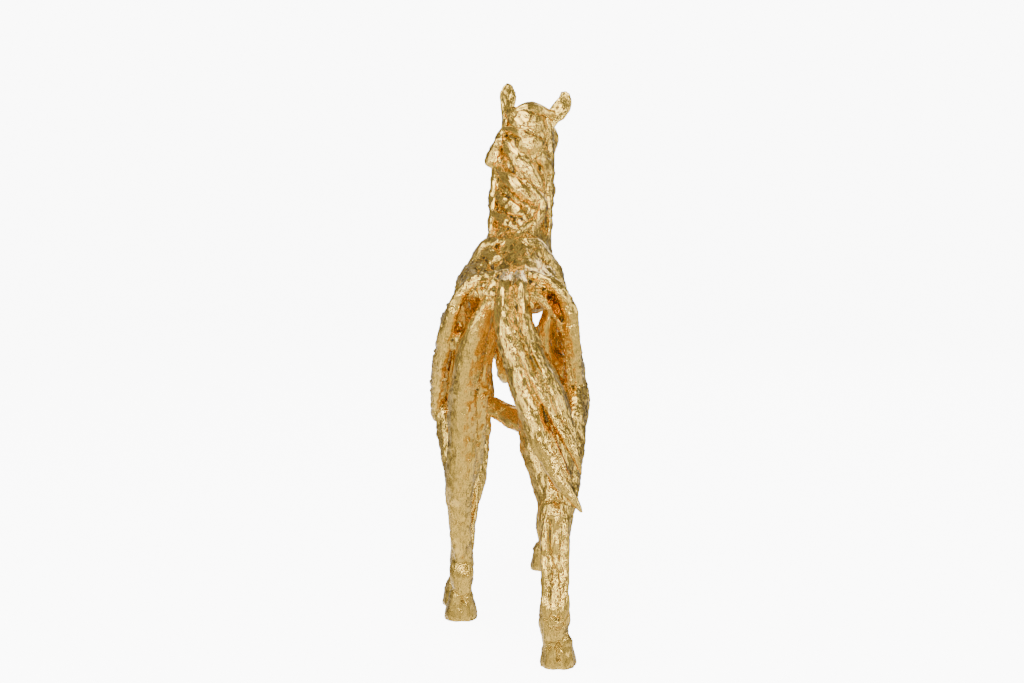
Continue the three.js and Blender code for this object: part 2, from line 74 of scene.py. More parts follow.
# %% Named sizes
MM = 0.001
MIDDLE = np.array([-1.29, 155.97, 0.0])
BARK = 5.4  # thickness of the trunk's shell
HOOF_WIDTH, HOOF_LENGTH, HOOF_RISE = 20.0, 25.0, 15.0
CANNON = 14.0  # width of the shank above each fetlock
EAR_WIDTH = 12.0
HEAD_LENGTH = 88.0
STRETCH = 0.26  # how much the grain is drawn out along a strand
VOXEL = 0.72
SPACING = 1.0  # between neighbouring points of a strand
FACES = 190_000  # triangles in the finished skin

UP, FORWARD, SIDEWAYS = np.eye(3)[2], np.eye(3)[1], np.eye(3)[0]


def unit(v):
    return v / np.maximum(np.linalg.norm(v, axis=-1, keepdims=True), 1e-9)


# %% [markdown]
# Two kinds of noise shape the wood. `noise` is plain gradient noise, and `ridged` folds it into creases.
# Blender's noise textures could do this in the material, but then the grooves wouldn't be in the mesh.
# Written out with numpy, they move real points, and a seed gives the same wood every time.

# %% Noise
CORNERS = np.array(list(itertools.product((0, 1), repeat=3)))
GRADIENTS = unit(np.array([v for v in itertools.product((-1, 0, 1), repeat=3) if any(v)], float))


def noise(points, seed=0):
    cell = np.floor(points).astype(np.int64)
    part = points - cell
    fade = part**3 * (part * (part * 6 - 15) + 10)
    total = np.zeros(len(points))
    for corner in CORNERS:
        a, b, c = (cell + corner).T
        mix = (a * 73856093) ^ (b * 19349663) ^ (c * 83492791) ^ (seed * 40503 + 7)
        mix = ((mix ^ (mix >> 13)) * 1274126177) & 0x7FFFFFFF
        pull = GRADIENTS[(mix >> 7) % len(GRADIENTS)]
        weight = np.prod(np.where(corner, fade, 1 - fade), axis=1)
        total += weight * np.einsum("ij,ij->i", pull, part - corner)
    return total * 1.6


def ridged(points, seed=0, octaves=3):
    total, size, height = np.zeros(len(points)), 1.0, 1.0
    for octave in range(octaves):
        total += height * (1 - 2 * np.abs(noise(points * size, seed + octave)))
        size, height = size * 2.1, height * 0.5
    return total / 1.75


# %% [markdown]
# Every form goes into one pool of closed surfaces. Along with each point goes its place in the grain:
# where it would lie if its strand were straight, with the length pressed together. Noise read there
# comes out long and thin along the strand. A fourth number says how much of it is rough bark. Keeping
# all forms in lists until the end needs only one mesh and one melting step.

# %% The pool of forms
pool = {"points": [], "faces": [], "grain": [], "count": 0}
dents = []


def add_form(points, faces, grain):
    pool["points"].append(points)
    pool["grain"].append(grain)
    pool["faces"] += [tuple(int(i) + pool["count"] for i in face) for face in faces]
    pool["count"] += len(points)


def dent(points, radius, depth):
    """A groove along a line of points, pressed into the finished skin."""
    dents.append((np.array(points, float), radius, depth))


def tube_faces(rings, sides):
    """Quads between rings of points, and a flat cap at each end."""
    faces = []
    for ring in range(rings - 1):
        a = ring * sides + np.arange(sides)
        b = ring * sides + (np.arange(sides) + 1) % sides
        faces += list(zip(a, b, b + sides, a + sides))
    caps = [tuple(range(sides))[::-1], tuple((rings - 1) * sides + np.arange(sides))]
    return faces + caps


# %% [markdown]
# A strand needs a smooth line to follow. A centripetal spline goes through every row it is given, and
# doesn't loop where the rows stand close together, as a plainer spline would.

# %% A smooth line through rows
def curve(rows, steps):
    rows = np.asarray(rows, float)
    padded = np.vstack([2 * rows[0] - rows[1], rows, 2 * rows[-1] - rows[-2]])
    out = []
    for i, count in enumerate(steps):
        p0, p1, p2, p3 = padded[i : i + 4]
        gaps = [np.linalg.norm(b[:3] - a[:3]) for a, b in ((p0, p1), (p1, p2), (p2, p3))]
        d0, d1, d2 = (max(gap, 1e-4) ** 0.5 for gap in gaps)
        m1 = ((p1 - p0) / d0 - (p2 - p0) / (d0 + d1) + (p2 - p1) / d1) * d1
        m2 = ((p2 - p1) / d1 - (p3 - p1) / (d1 + d2) + (p3 - p2) / d2) * d1
        square, cube = -3 * p1 + 3 * p2 - 2 * m1 - m2, 2 * p1 - 2 * p2 + m1 + m2
        t = np.linspace(0, 1, count, endpoint=False)[:, None]
        out.append(p1 + m1 * t + square * t**2 + cube * t**3)
    return np.vstack(out + [rows[-1:]])


def rounded_ends(path, tangent, run, dome):
    """A few shrinking rings more at both ends. run is the length along the strand so far."""
    ends = np.array([0.98, 0.85, 0.6, 0.3])
    swell = np.sqrt(1 - ends**2)
    tip, tail = path[-1], path[0]
    rise = ends * dome * tail[4], ends[::-1] * dome * tip[4]
    back = np.hstack([tail[:3] - np.outer(rise[0], tangent[0]), np.outer(swell, tail[3:])])
    front = np.hstack([tip[:3] + np.outer(rise[1], tangent[-1]), np.outer(swell[::-1], tip[3:])])
    run = np.concatenate([run[0] - rise[0], run, run[-1] + rise[1]])
    path = np.vstack([back, path, front])
    tangent = np.vstack([np.repeat(tangent[:1], 4, 0), tangent, np.repeat(tangent[-1:], 4, 0)])
    return path, tangent, run


# %% [markdown]
# On the casting each band of wood is a stick with round edges, grooved along its length and swelling
# here and there. A curve with a bevel would give the stick, but not the grooves, so a strand is lofted
# ring by ring and every ring is pushed in and out by the noise at its place in the grain.

# %% A strand of wood
strand_count = 0


def strand(rows, face=FORWARD, cup=0.0, groove=1.0, lumps=1.0, bark=0.3, dome=1.0):
    """A closed band of wood. Each row is x, y, z, half width, half thickness.

    dome says how round its ends are, and bark how rough it is.
    """
    global strand_count
    strand_count += 1
    seed = 31 * strand_count
    rows = np.asarray(rows, float)
    spans = np.linalg.norm(np.diff(rows[:, :3], axis=0), axis=1)
    path = curve(rows, [max(2, int(s / SPACING)) for s in spans])
    path[:, 3:] = np.maximum(path[:, 3:], 0.7)
    tangent = unit(np.gradient(path[:, :3], axis=0))
    run = np.concatenate([[0], np.cumsum(np.linalg.norm(np.diff(path[:, :3], axis=0), axis=1))])

    path, tangent, run = rounded_ends(path, tangent, run, dome)

    # The rings face the way `face` says, square to the line.
    look = face(path[:, :3]) if callable(face) else np.broadcast_to(face, (len(path), 3))
    normal = unit(look - tangent * np.einsum("ij,ij->i", look, tangent)[:, None])
    across = np.cross(normal, tangent)
    widest = max(path[:, 3].max(), path[:, 4].max())
    sides = max(16, int(2 * math.pi * widest / SPACING * 0.8))
    angle = np.arange(sides) / sides * 2 * math.pi
    mean = path[:, 3:].mean(axis=1)
    grain = np.stack(
        [
            mean[:, None] * np.cos(angle) * 1.15,
            mean[:, None] * np.sin(angle) * 1.15,
            np.broadcast_to(run[:, None] * STRETCH, (len(path), sides)),
        ],
        axis=-1,
    ).reshape(-1, 3) + seed * 7.3

    # Grooves and lumps are shallower on thin strands.
    crease = 0.75 * ridged(grain / 4.6, seed, 3) - 0.35
    swelling = noise(grain / np.array([9.0, 9.0, 5.0]), seed + 9)
    depth = groove * crease + lumps * 0.9 * swelling
    depth = depth.reshape(len(path), sides) * np.clip(mean / 9, 0.25, 1)[:, None]
    u = np.cos(angle) * (path[:, 3:4] + depth)
    v = np.sin(angle) * (path[:, 4:5] + depth) - cup * np.cos(angle) ** 2
    points = path[:, None, :3] + across[:, None] * u[..., None] + normal[:, None] * v[..., None]
    rough = np.full((len(grain), 1), bark)
    add_form(points.reshape(-1, 3), tube_faces(len(path), sides), np.hstack([grain, rough]))


# %% [markdown]
# The trunk is a hollow shell of bark with leaf-shaped openings. It could be woven from strands, but those
# leave seams where they cross. One skin through a table of stations, pierced by leaf shapes, keeps the
# barrel's round form. Its thickness falls away towards each opening, so the wood between them stands as
# rounded bands.

# %% The trunk's skin
TRUNK = np.array([  # y, top, bottom, half width
    [40, 204, 150, 24],
    [62, 215, 136, 35],
    [90, 214, 122, 43],
    [120, 211, 114, 45],
    [155, 209, 111, 45.5],
    [190, 220, 112, 43],
    [222, 228, 118, 37],
    [258, 210, 135, 28],
], float)
LEAN = -2.5  # the barrel's middle is a little to the left of the hooves'
LOWEST = 128  # degrees from the top where the shell ends, above the strap
STIFLE = {-1: 112, 1: 72}  # y of the shell's rear edge low down, on the left and on the right
OPENINGS = [  # y, degrees from the top, length, width, slant
    [100, 46, 50, 15, -14],
    [146, 38, 46, 12, 6],
    [188, 54, 42, 14, -24],
    [120, 82, 46, 17, -16],
    [160, 72, 48, 16, 8],
    [206, 78, 42, 16, -34],
    [148, 108, 50, 14, 10],
    [194, 106, 44, 14, -12],
    [236, 60, 30, 12, -46],
]


def skin(y, degrees, inset=0.0):
    top, bottom, half = (np.interp(y, TRUNK[:, 0], TRUNK[:, k]) for k in (1, 2, 3))
    c, s = np.cos(np.radians(degrees)), np.sin(np.radians(degrees))
    rise = np.sign(c) * np.abs(c) ** 0.85
    wide = np.sign(s) * np.sqrt(np.abs(s)) * (1 - 0.14 * rise)
    x = LEAN + (half - inset) * wide
    z = (top + bottom) / 2 + ((top - bottom) / 2 - inset) * rise
    return np.stack(np.broadcast_arrays(x, y, z), axis=-1)


def outward(points):
    return unit((points - np.array([0, 0, 165])) * np.array([1, 0, 1]))


def pierced(degrees, flat, rim, lines):
    """The distance to the nearest rim, and the lines of the grain, bent round each opening."""
    for side in (-1, 1):
        for oy, od, length, width, slant in OPENINGS:
            middle = skin(np.array(oy + 3.0 * side), np.array(float(od * side)))
            out = outward(middle)
            lengthwise = unit(FORWARD - out * out[1])
            sideways = np.cross(lengthwise, out)
            a = math.radians(slant) * side
            lengthwise, sideways = (
                lengthwise * math.cos(a) - sideways * math.sin(a),
                sideways * math.cos(a) + lengthwise * math.sin(a),
            )
            offset = flat - middle
            u, w = offset @ lengthwise, offset @ sideways
            near = (np.abs(offset @ out) < 26) & (np.sign(degrees) == side)
            half = 0.52 * width
            reach = np.abs(w) / half + (2 * u / length) ** 2
            rim = np.where(near, np.minimum(rim, (reach - 1) * half), rim)
            bend = np.exp(-np.clip(reach - 0.6, 0, None) * 0.9) * np.where(near, 1, 0)
            lines = lines + 0.9 * bend * w * side * 0.6
    return rim, lines


def shell_faces(kept, number, inside):
    """Outer and inner quads where the bark is kept, and a wall between them along every edge."""
    faces = []
    rows, cols = kept.shape
    for i, j in zip(*np.nonzero(kept)):
        a, b, c, d = number[i, j], number[i, j + 1], number[i + 1, j + 1], number[i + 1, j]
        faces += [(a, b, c, d), (inside + a, inside + d, inside + c, inside + b)]
        for p, q, ni, nj in ((a, b, i - 1, j), (b, c, i, j + 1), (c, d, i + 1, j), (d, a, i, j - 1)):
            outside = ni < 0 or nj < 0 or ni >= rows or nj >= cols
            if outside or not kept[ni, nj]:
                faces.append((p, inside + p, inside + q, q))
    return faces


# %% The trunk's shell
def shell():
    """The trunk's shell, as two skins joined along the rims of its openings."""
    turn = np.linspace(-LOWEST, LOWEST, int(230 / SPACING))
    ring = np.linspace(0, 1, int(190 / SPACING))
    degrees, along = np.meshgrid(turn, ring)
    share = np.abs(degrees) / LOWEST
    rear = 46 + (np.where(degrees < 0, STIFLE[-1], STIFLE[1]) - 46) * share**1.4
    front = 228 + 90 * share * (1 - share)
    y = rear + (front - rear) * along

    # The rims are uneven, as the wood is broken, not cut.
    rim = np.minimum(np.minimum(along, 1 - along) * 150, (1 - share) * 95) + 1.0
    flat = skin(y, degrees)
    rim, lines = pierced(degrees, flat, rim, degrees * 0.78)
    wobble = noise(flat.reshape(-1, 3) / 13, 5).reshape(rim.shape)
    rim = rim + 1.6 * wobble - 0.3

    # The outer skin swells and is creased along the grain. Both skins meet at the rims.
    grain = np.stack([lines, np.zeros_like(y), y * STRETCH], axis=-1) + 911.0
    crease = ridged(grain.reshape(-1, 3) / 4.4, 3, 3).reshape(rim.shape)
    lump = noise(grain.reshape(-1, 3) / np.array([10, 10, 5]), 4).reshape(rim.shape)
    dome = np.sqrt(np.clip(rim / 7.5, 0, 1))
    lift = dome * (1.6 + 0.9 * crease + 1.0 * lump) - 1.1
    outer = flat + outward(flat) * lift[..., None]
    inner = skin(y, degrees, BARK * dome)
    kept = np.minimum.reduce([rim[:-1, :-1], rim[1:, :-1], rim[:-1, 1:], rim[1:, 1:]]) > 0.02
    faces = shell_faces(kept, np.arange(rim.size).reshape(rim.shape), rim.size)

    # Only the points that some face uses go into the pool.
    points = np.vstack([outer.reshape(-1, 3), inner.reshape(-1, 3)])
    used = np.unique(np.array(faces))
    renumber = np.full(len(points), -1)
    renumber[used] = np.arange(len(used))
    deep = np.vstack([grain.reshape(-1, 3), grain.reshape(-1, 3) + np.array([0, 6.0, 0])])
    deep = np.hstack([deep, np.full((len(deep), 1), 0.8)])
    add_form(points[used], [tuple(renumber[list(f)]) for f in faces], deep[used])


shell()
print("shell points", pool["count"])


# %% [markdown]
# The back is one wide smooth plate, the calmest place on the figure. Shoulder blades, upper arms and the
# breast close the front of the shell, and the strap under the belly runs askew. Each is a strand: its
# rows give the middle, the half width and the half thickness, and what matches left and right is drawn
# once, with `side` turning it over.

# %% Back, shoulders and strap
strand([
    [0, 48, 203, 13, 5],
    [0, 75, 213, 20, 4.5],
    [1, 110, 208, 17, 4],
    [1, 145, 205, 16, 4],
    [2, 180, 217, 17, 5],
    [3, 208, 231, 15, 8],
    [4, 228, 236, 12, 9],
], UP, cup=3, groove=0.35, lumps=0.6, bark=0)
strand([
    [4, 256, 226, 12, 9],
    [2, 266, 202, 11, 9],
    [1, 270, 180, 10.5, 9],
    [1, 266, 160, 12, 8],
    [-1, 250, 148, 12, 6],
    [-5, 228, 147, 11, 5],
], bark=0.6)
for side in (-1, 1):
    strand([
        [8 * side, 198, 233, 5, 2],
        [14 * side, 206, 230, 11, 5],
        [23 * side + 1, 212, 218, 13, 5],
        [31.5 * side, 222, 198, 11.2 - 0.7 * side, 5.5],
        [34.5 * side, 236, 174, 11.5 - 0.5 * side, 7],
        [31 * side, 242, 158, 10, 9],
    ], outward, cup=2)
    strand([
        [9 * side, 184, 221, 4, 3],
        [14 * side, 198, 225, 7, 4],
        [19 * side, 212, 224, 7, 4],
        [23 * side, 226, 214, 5, 4],
    ], outward, bark=0.9)
    strand([
        [30 * side, 248, 172, 10, 10],
        [32 * side, 234, 156, 11, 10],
        [29 * side, 212, 140, 11, 12],
    ], SIDEWAYS)
    strand([
        [31 * side, 240, 178, 8, 6],
        [22 * side, 258, 164, 9, 6],
        [6 * side, 266, 154, 8, 6],
    ])
strand([
    [-43, 196, 146, 5, 2],
    [-32, 188, 134, 8, 4],
    [-10, 172, 126, 9, 5.5],
    [10, 148, 119, 9, 6],
    [28, 124, 121, 9, 5],
    [38, 102, 134, 9, 5],
    [42, 92, 142, 5, 4],
], UP, groove=0.8)
print("trunk strands", strand_count)

# %% [markdown]
# The hooves are small cones with a rim of hair above them and a cleft at the heel. The figure stands on
# them, so each is lofted from level rings down to a flat sole, where a strand would end in a dome.

# %% Hooves
HOOF_AT = [0, 0.06, 0.25, 0.95, 1.25]  # heights over the sole, as shares of the hoof's rise
HOOF_WIDE = [0.97, 1, 0.98, 0.76, 0.6]
HOOF_LONG = [0.97, 1, 0.95, 0.72, 0.55]
HOOF_BACK = [0, 0, 0.03, 0.13, 0.18]


def bell(z, middle, width):
    return math.exp(-(((z - middle) / width) ** 2))


def hoof(x, y, heading):
    sides, rings = 56, 22
    angle = np.arange(sides) / sides * 2 * math.pi
    c, s = math.cos(heading), math.sin(heading)
    points, grain = [], []
    for k in range(rings):
        z = 1.25 * k / (rings - 1)
        width, length, back = (np.interp(z, HOOF_AT, v) for v in (HOOF_WIDE, HOOF_LONG, HOOF_BACK))
        band = 1 + 0.06 * bell(z, 1.0, 0.07) - 0.05 * bell(z, 0.86, 0.05)
        around = np.stack([np.cos(angle) * 3, np.sin(angle) * 3, np.full(sides, z * 2 + x)], 1)
        wave = 0.5 * noise(around, 71)
        heel = 1 - 0.16 * np.exp(-(((angle - 1.5 * math.pi) / 0.22) ** 2))
        px = np.cos(angle) * (HOOF_WIDTH * width * band / 2 + wave)
        py = np.sin(angle) * heel * (length * HOOF_LENGTH * band / 2 + wave) - back * HOOF_LENGTH
        level = np.full(sides, z * HOOF_RISE)
        points.append(np.stack([x + px * c - py * s, y + px * s + py * c, level], 1))
        turn = np.stack([np.cos(angle) * 10, np.sin(angle) * 10, np.full(sides, z * 4)], 1) + x * 3.1
        grain.append(np.hstack([turn, np.full((sides, 1), 0.15)]))
    add_form(np.vstack(points), tube_faces(rings, sides), np.vstack(grain))


# %% [markdown]
# Below the hock or knee each leg is a shank, a fetlock, a pastern and a hoof. All four are alike, so one
# function draws them from the places of their joints. Two sinews stand out behind the cannon bone, and
# a small knob hangs behind the fetlock.

# %% Shanks
SINEW = [  # share of the way down, how far out and how wide as shares of half the cannon
    (0, 0.5, 0.8),
    (0.25, 0.6, 1),
    (0.6, 0.56, 1),
    (0.9, 0.5, 1.15),
    (1.05, 0.3, 0.7),
]


def shank(top, fetlock, foot, heading, tendon, size=0.95):
    """tendon is how far the sinews stand out of the back of the cannon. At 0 there are none."""
    half = CANNON / 2 * size
    top, fetlock = np.array(top, float), np.array(fetlock, float)
    middle = (top + fetlock) / 2
    strand([
        [*top, half + 1, half + 2.5],
        [*middle, half - 0.5, half - 0.3],
        [fetlock[0], fetlock[1], fetlock[2] + 10, half - 0.5, half + 0.2],
        [*fetlock, half + 0.6, half + 1.2],
        [fetlock[0], (fetlock[1] + foot[1]) / 2, fetlock[2] * 0.6, half - 0.8, half - 0.4],
        [foot[0], foot[1] - 3, 9, half + 0.5, half + 0.5],
    ], groove=0.8, bark=0.2)
    hoof(*foot, heading)
    if tendon <= 0:
        return
    for side in (-1, 1):
        rows = []
        for t, spread, wide in SINEW:
            x, y, z = top + (fetlock - top) * t
            behind = [x + side * spread * half, y - half * 0.55 - tendon, z]
            rows.append([*behind, 0.4 * half * wide, 0.45 * half * wide])
        strand(rows, groove=0.5, bark=0.15)
    strand([
        [fetlock[0] - 1.5, fetlock[1] - half - 0.5, fetlock[2] + 1, 1.6, 1.8],
        [fetlock[0] + 1.5, fetlock[1] - half - 0.8, fetlock[2] - 1.5, 2.2, 2.4],
    ], groove=0.2, bark=0.3)


# %% [markdown]
# The left hind leg is a main strand from the croup to the hock, an outer strand from the stifle, an inner
# slip of bark and a crosspiece between them. It leads, and its cannon slopes forward to the hoof.

# %% Left hind leg
strand([
    [-11, 60, 210, 4, 6],
    [-15.5, 54, 199, 5, 8],
    [-20, 55, 187, 6.5, 9],
    [-24, 62, 173, 8, 10],
    [-27, 70, 158, 7.6, 12],
    [-29, 77, 143, 8.4, 13.5],
    [-29, 81, 128, 8.8, 13.5],
    [-29.5, 84, 110, 9, 12.5],
    [-31.5, 88, 92, 9, 11],
    [-32, 95, 76, 6.8, 8.3],
    [-32, 101.5, 60, 4.5, 5],
], groove=0.7, bark=0.25)
strand([
    [-42, 130, 162, 4, 5],
    [-41, 119, 146, 7, 11],
    [-39, 110, 126, 7, 11],
    [-36, 101, 106, 7, 10],
    [-33, 94, 86, 6, 8],
    [-32, 98, 68, 4, 5],
], bark=0.6)
strand([
    [-25, 78, 209, 4, 5],
    [-19, 73, 197, 5, 6],
    [-14, 70, 182, 5, 8],
    [-16, 72, 170, 5, 8.5],
    [-18.5, 76, 156, 5, 9],
    [-20, 82, 138, 5, 9.5],
    [-21.5, 87, 118, 5, 9.5],
    [-25, 91, 98, 4.5, 8],
], groove=1.2, bark=0.6)
strand([[-22, 62, 182, 6, 5], [-32, 69, 179, 5, 4.5], [-41, 78, 177, 4, 4]], outward, bark=1)
shank([-32, 92, 84], [-31, 115, 30], [-32, 125], 0.06, 0)

# %% [markdown]
# The right hind leg trails and stands almost upright. Two long dents run down its cannon between the
# sinews. They could be cut with a boolean, but pressed into the finished skin they stay soft.

# %% Right hind leg
strand([
    [5, 62, 208, 4, 6],
    [6, 54, 196, 4.5, 7],
    [9, 50, 183, 6, 9],
    [14.5, 46, 166, 8.5, 12],
    [18, 43, 150, 12.5, 14],
    [19.5, 40, 134, 15.5, 15],
    [20.5, 35, 120, 14.8, 14.5],
    [22, 28, 108, 12.8, 13],
    [24, 19, 94, 9.5, 11.5],
    [24, 13, 80, 8, 9.5],
    [24, 9, 64, 6, 6.5],
], groove=1.2, bark=0.35)
strand([
    [37, 98, 166, 4, 5],
    [37, 86, 150, 7, 11],
    [36, 68, 134, 7.5, 12],
    [34, 52, 116, 7.5, 11],
    [31, 32, 98, 7, 10],
    [28, 18, 82, 5.5, 8],
    [26, 12, 66, 4, 5],
], bark=0.5)
shank([24, 13, 86], [24, 4, 30], [26, 13], -0.05, 1.8, 1.14)
dent([(21.3, 3, 84), (21.3, -0.6, 62), (21.3, -4, 40)], 1.6, 1.1)
dent([(27.6, 3, 82), (27.6, -0.6, 62), (27.8, -4, 42)], 1.6, 0.9)

# %% [markdown]
# The fore legs leave the shell under the shoulders. The left one slopes back and the right one reaches
# forward. Each is one strand from the elbow over the knee, and a shank below.

# %% Fore legs
strand([
    [-24, 208, 150, 11, 15],
    [-24, 201, 132, 11.5, 13.5],
    [-25, 190, 108, 10, 10.5],
    [-26, 181, 88, 9.8, 10.5],
    [-27, 175, 74, 8, 8],
    [-28, 171, 60, 5.5, 6],
], groove=0.8, bark=0.3, dome=0.3)
shank([-27, 176, 80], [-32, 155, 31], [-35, 163], 0.1, 0.4)
strand([
    [29, 210, 150, 11, 15],
    [29, 220, 130, 10.5, 13],
    [28, 234, 108, 9.5, 10],
    [26, 246, 90, 9.8, 10.5],
    [26, 250, 76, 8, 8],
    [25.5, 252, 62, 5.5, 6],
], groove=0.8, bark=0.3, dome=0.3)
shank([26, 249, 82], [24, 262, 34], [23, 271], -0.08, 0.4)
print("with legs", strand_count)

# %% [markdown]
# The broad rims of the haunches face backwards, rough with bark, and frame the hollows that the
# photograph looks into. A thinner slip hangs inside each. As strands apart from the shell they can stand
# proud of it, and shadow falls behind them.

# %% Haunches
strand([
    [-4, 70, 216, 4.5, 3],
    [-15, 63, 215, 3.8, 4],
    [-24, 60, 212, 3.5, 5],
    [-30, 60, 206, 3.5, 5],
    [-34, 61, 198, 3.8, 5],
    [-37.5, 66, 187, 4.1, 5],
    [-40, 74, 175, 4.4, 5],
    [-42.5, 85, 162, 4.4, 5.5],
    [-44, 97, 149, 4.4, 6],
    [-45.5, 106, 139, 4, 6],
    [-46, 112, 131, 3.2, 5],
], cup=1, groove=1.1, bark=0.55)
strand([
    [7, 68, 216, 4.5, 3],
    [17, 61, 214.5, 3.8, 4],
    [25, 58, 211, 3.6, 5],
    [30, 57, 205, 3.7, 5],
    [33.5, 59, 196, 4.2, 5],
    [34.5, 62, 186, 4.5, 5],
    [35.5, 67, 173, 4.7, 5.5],
    [36.5, 73, 160, 4.7, 6],
    [37.5, 79, 149, 5, 6.5],
    [38.5, 83, 138, 5.5, 7],
    [37.5, 84, 125, 5, 6],
], cup=1, groove=1.1, bark=0.55)
strand([
    [-31, 84, 186, 2.6, 3],
    [-35, 91, 170, 3.2, 3],
    [-37, 98, 153, 3.2, 3],
    [-37, 104, 140, 2.6, 3],
], bark=0.1)
strand([
    [29, 64, 208, 2.6, 4],
    [22.5, 68, 197, 3.6, 4],
    [19.5, 70, 184, 3.8, 4],
    [20, 74, 170, 3.8, 4],
    [24, 79, 157, 3.8, 4],
    [31, 84, 146, 3, 4],
], bark=0.4)
strand([
    [44, 100, 145, 2.6, 4],
    [43.5, 97, 137, 3.6, 5],
    [42, 92, 128, 3, 4],
], bark=0.6)
print("with haunches", strand_count)

# %% [markdown]
# The head is turned a little to the right and hangs at about 43 degrees. It runs along a line from the
# poll to the lips, and its rows are shares of its length, so it can be turned or lengthened as one piece.
# The skull and the lower jaw are two strands, one behind the other, with the cheek between them.

# %% Head
POLL = np.array([14, 260, 322.0])
TURN, DROP = math.radians(8), math.radians(43)
FACE = np.array([math.sin(TURN) * math.cos(DROP), math.cos(TURN) * math.cos(DROP), -math.sin(DROP)])
RIGHT = np.array([math.cos(TURN), -math.sin(TURN), 0])
DOWN = unit(np.cross(FACE, RIGHT))
PER_CENT = HEAD_LENGTH / 100


def on_head(share, sideways, down):
    return POLL + FACE * share * HEAD_LENGTH + (RIGHT * sideways + DOWN * down) * PER_CENT


def head_rows(rows):
    """Each row is share of the length, sideways, half width, how far down, half thickness."""
    return [[*on_head(s, x, m), w * PER_CENT, d * PER_CENT] for s, x, w, m, d in rows]


strand(head_rows([
    [0.03, 0, 12, 18, 11],
    [0.1, 0, 15.5, 18, 16],
    [0.26, 0, 16.5, 18, 18],
    [0.42, 0, 14, 16, 16],
    [0.6, 0, 11, 13.5, 13],
    [0.76, 0, 9.6, 12.5, 11.5],
    [0.88, 0, 10.2, 13, 12],
    [0.95, 0, 8.6, 13.5, 10],
]), DOWN, groove=0.4, lumps=0.6, bark=0.2)
strand(head_rows([
    [0.08, 0, 12, 34, 10],
    [0.2, 0, 13.5, 36, 15],
    [0.36, 0, 12, 33, 12.5],
    [0.54, 0, 7.5, 25.5, 7.5],
    [0.72, 0, 6.5, 23, 5.5],
    [0.86, 0, 6.6, 23.5, 4.6],
    [0.92, 0, 5, 22.5, 3.6],
]), DOWN, groove=0.4, lumps=0.6, bark=0.2)

# %% [markdown]
# The photograph hides the face, so it is kept plain: brow, eyeball, lower lid, facial crest, jaw and the
# rim of the nostril are short strands, and the nostril, the mouth and the hollow of the cheek are dents
# pressed into the finished skin.

# %% Face
for side in (-1, 1):
    # Brow
    strand(head_rows([
        [0.14, 10 * side, 3.5, 6, 4],
        [0.24, 14.5 * side, 4.2, 7, 4],
        [0.33, 14 * side, 3, 9, 3],
        [0.4, 11.5 * side, 2, 10, 2],
    ]), DOWN, groove=0.3, bark=0.3)
    # Eyeball and lower lid
    strand(head_rows([
        [0.245, 14.5 * side, 1.8, 13, 2],
        [0.28, 15.6 * side, 3, 13, 2.9],
        [0.315, 14 * side, 1.8, 13.2, 2],
    ]), DOWN, groove=0, lumps=0, bark=0)
    strand(head_rows([
        [0.2, 15.2 * side, 1.6, 15, 1.6],
        [0.27, 15.8 * side, 2, 18.4, 1.5],
        [0.35, 14 * side, 1.6, 15.5, 1.6],
    ]), DOWN, groove=0.2, bark=0.1)
    # Facial crest and the angle of the jaw
    strand(head_rows([
        [0.33, 13.5 * side, 2.6, 21, 2.6],
        [0.48, 11.5 * side, 2.6, 19, 2.4],
        [0.64, 8.6 * side, 1.8, 16, 1.8],
    ]), DOWN, groove=0.3, bark=0.3)
    strand(head_rows([
        [0.14, 9.5 * side, 4.5, 40, 8],
        [0.24, 12 * side, 4.5, 40, 9],
        [0.36, 9.5 * side, 4, 36, 7],
    ]), DOWN, groove=0.5, bark=0.4)
    # Rim of the nostril
    strand(head_rows([
        [0.8, 7 * side, 2.2, 6, 2.2],
        [0.87, 9.4 * side, 2.6, 6.5, 2.4],
        [0.94, 8 * side, 2.4, 9.5, 2.4],
        [0.93, 8 * side, 2, 14, 2],
    ]), DOWN, groove=0.2, bark=0.1)
    # Nostril, mouth and the hollow of the cheek
    mouth = ((0.72, 9), (0.82, 9.2), (0.92, 9), (0.99, 5), (1.01, 0))
    dent([on_head(0.87, 11.5 * side, 10), on_head(0.915, 10.5 * side, 11)], 2.4, 1.8)
    dent([on_head(s, x * side, 21) for s, x in mouth], 0.9, 0.9)
    dent([on_head(0.4, 14 * side, 26), on_head(0.6, 9.5 * side, 22)], 2.6, 0.9)
print("with the head", strand_count)

# %% [markdown]
# The ears are thin hollowed leaves. The left one stands straight up and the right one swings outwards, as
# the photograph shows them from behind. A strand with a deep cup gives the hollow without a boolean.

# %% Ears
def ear(rows, face):
    """Each row is share, sideways, down on the head, then the half width as a share of the ear's."""
    leaf = []
    for k, (s, x, m, wide) in enumerate(rows):
        thick = 1.3 + 0.16 * EAR_WIDTH * (1 - k / (len(rows) - 1))
        leaf.append([*on_head(s, x, m), wide * EAR_WIDTH / 2, thick])
    face = np.array(face, float)
    strand(leaf, face, cup=EAR_WIDTH * 0.16, groove=0.25, lumps=0.3, bark=0.15)


ear([
    [0.13, -20.6, 16, 0.6],
    [0.07, -20.6, 8, 0.56],
    [0.03, -20.5, 1, 0.74],
    [-0.01, -20.4, -6, 1],
    [-0.04, -20.3, -13, 0.86],
    [-0.065, -20.2, -18, 0.4],
], [-0.3, 1, 0])
ear([
    [0.12, 10, 12, 0.7],
    [0.08, 15.5, 5, 0.95],
    [0.05, 20.5, 0, 1.12],
    [0.02, 24, -5.5, 1.0],
    [-0.005, 24.5, -10, 0.75],
    [-0.02, 23.5, -13, 0.35],
], [0.3, 0.9, -0.3])

# %% [markdown]
# The mane's locks lie against the back of the neck. Most sweep over the crest, down to the right. Each is
# drawn only by the x and z that the photograph shows, and laid onto the neck by its round section, so no
# lock floats or sinks in.

